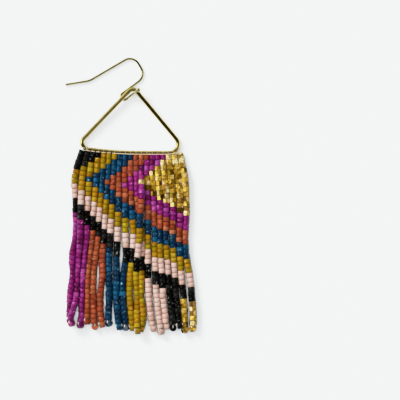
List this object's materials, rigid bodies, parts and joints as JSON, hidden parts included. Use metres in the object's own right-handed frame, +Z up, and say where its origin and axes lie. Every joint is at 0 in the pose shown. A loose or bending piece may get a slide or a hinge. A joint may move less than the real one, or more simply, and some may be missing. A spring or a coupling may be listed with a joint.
{
  "type": "beaded dangle earring",
  "caption": "Beaded dangle earring: an ear wire's open loop holds a wire triangle, from whose base bar strings of small glass beads hang as a long fringe with a chevron pattern.",
  "frame": {"origin": "under the middle of the whole earring's box, on the surface that it lies on", "axes": "+Y along the earring towards the ear wire, +X across the strings to the side away from the ear wire's tip, +Z up out of the surface"},
  "size_m": [0.0391, 0.083, 0.0036],
  "materials": {
    "gold_wire": "polished pale gold plate on brass wire, a little darkened in its hollows",
    "magenta_beads": "opaque magenta glass with a silky lustre",
    "rust_beads": "opaque rust red glass, semi-matte",
    "teal_beads": "deep teal glass, glossy, slightly cloudy",
    "mustard_beads": "opaque mustard glass, glossy",
    "pink_beads": "opaque pale pink glass with a soft gloss",
    "black_beads": "opaque black glass, high gloss",
    "gold_beads": "gold-plated glass, metallic, with bright facets",
    "thread": "fine white beading thread"
  },
  "bodies": {
    "root": {"ear_hook": "gold_wire", "triangle_frame": "gold_wire", "strand_01": "magenta_beads", "strand_02": "magenta_beads", "strand_03": "magenta_beads", "strand_04": "rust_beads", "strand_05": "rust_beads", "strand_06": "rust_beads", "strand_07": "teal_beads", "strand_08": "teal_beads", "strand_09": "teal_beads", "strand_10": "mustard_beads", "strand_11": "mustard_beads", "strand_12": "mustard_beads", "strand_13": "pink_beads", "strand_14": "pink_beads", "strand_15": "pink_beads", "strand_16": "black_beads", "strand_17": "black_beads", "strand_18": "gold_beads", "strand_19": "gold_beads"}
  },
  "joints": []
}
